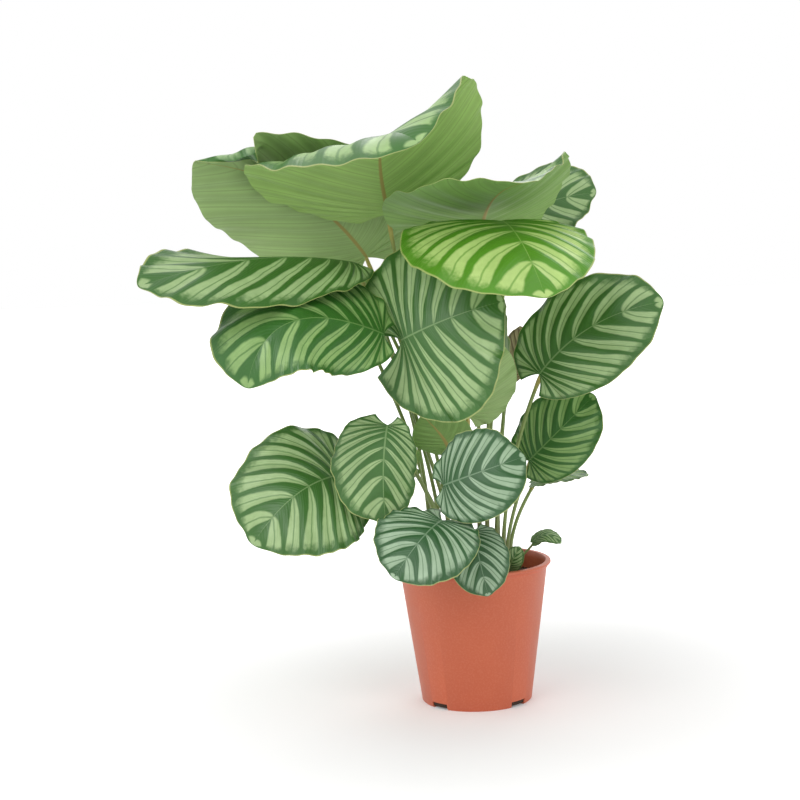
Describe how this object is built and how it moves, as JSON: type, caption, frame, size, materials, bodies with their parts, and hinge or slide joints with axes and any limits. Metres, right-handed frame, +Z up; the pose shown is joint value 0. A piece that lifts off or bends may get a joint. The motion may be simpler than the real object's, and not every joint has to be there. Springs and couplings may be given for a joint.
{
  "type": "potted calathea",
  "caption": "Potted calathea with broad rounded striped leaves on slender stalks, rooted in soil in a tapered terracotta-coloured plastic nursery pot.",
  "frame": {"origin": "middle of the pot's underside, on the plane it stands on", "axes": "+Z up along the pot's axis, -Y towards the plant's front, +X towards the right seen from the front"},
  "size_m": [0.6718, 0.4209, 0.8305],
  "materials": {
    "terracotta_plastic": "satin",
    "potting_soil": "matte",
    "leaf_blade": "satin",
    "leaf_dried": "matte",
    "leaf_petiole": "satin"
  },
  "bodies": {
    "root": {"pot": "terracotta_plastic", "soil": "potting_soil", "top_left_blade": "leaf_blade", "top_left_petiole": "leaf_petiole", "top_centre_blade": "leaf_blade", "top_centre_petiole": "leaf_petiole", "top_right_blade": "leaf_blade", "top_right_petiole": "leaf_petiole", "left_high_blade": "leaf_blade", "left_high_petiole": "leaf_petiole", "left_mid_blade": "leaf_blade", "left_mid_petiole": "leaf_petiole", "centre_blade": "leaf_blade", "centre_petiole": "leaf_petiole", "right_high_blade": "leaf_blade", "right_high_petiole": "leaf_petiole", "right_mid_blade": "leaf_blade", "right_mid_petiole": "leaf_petiole", "right_low_blade": "leaf_blade", "right_low_petiole": "leaf_petiole", "right_back_blade": "leaf_blade", "right_back_petiole": "leaf_petiole", "lower_left_blade": "leaf_blade", "lower_left_petiole": "leaf_petiole", "lower_fold_blade": "leaf_blade", "lower_fold_petiole": "leaf_petiole", "low_centre_blade": "leaf_blade", "low_centre_petiole": "leaf_petiole", "low_left_blade": "leaf_blade", "low_left_petiole": "leaf_petiole", "low_small_blade": "leaf_blade", "low_small_petiole": "leaf_petiole", "left_under_blade": "leaf_blade", "left_under_petiole": "leaf_petiole", "under_centre_blade": "leaf_blade", "under_centre_petiole": "leaf_petiole", "under_low_blade": "leaf_blade", "under_low_petiole": "leaf_petiole", "under_fold_blade": "leaf_blade", "under_fold_petiole": "leaf_petiole", "back_pale_blade": "leaf_blade", "back_pale_petiole": "leaf_petiole", "edge_on_blade": "leaf_blade", "edge_on_petiole": "leaf_petiole", "dried_blade": "leaf_dried", "dried_petiole": "leaf_petiole", "right_low_back_blade": "leaf_blade", "right_low_back_petiole": "leaf_petiole", "rim_green_blade": "leaf_blade", "rim_green_petiole": "leaf_petiole", "rim_bud_blade": "leaf_blade", "rim_bud_petiole": "leaf_petiole"}
  },
  "joints": []
}
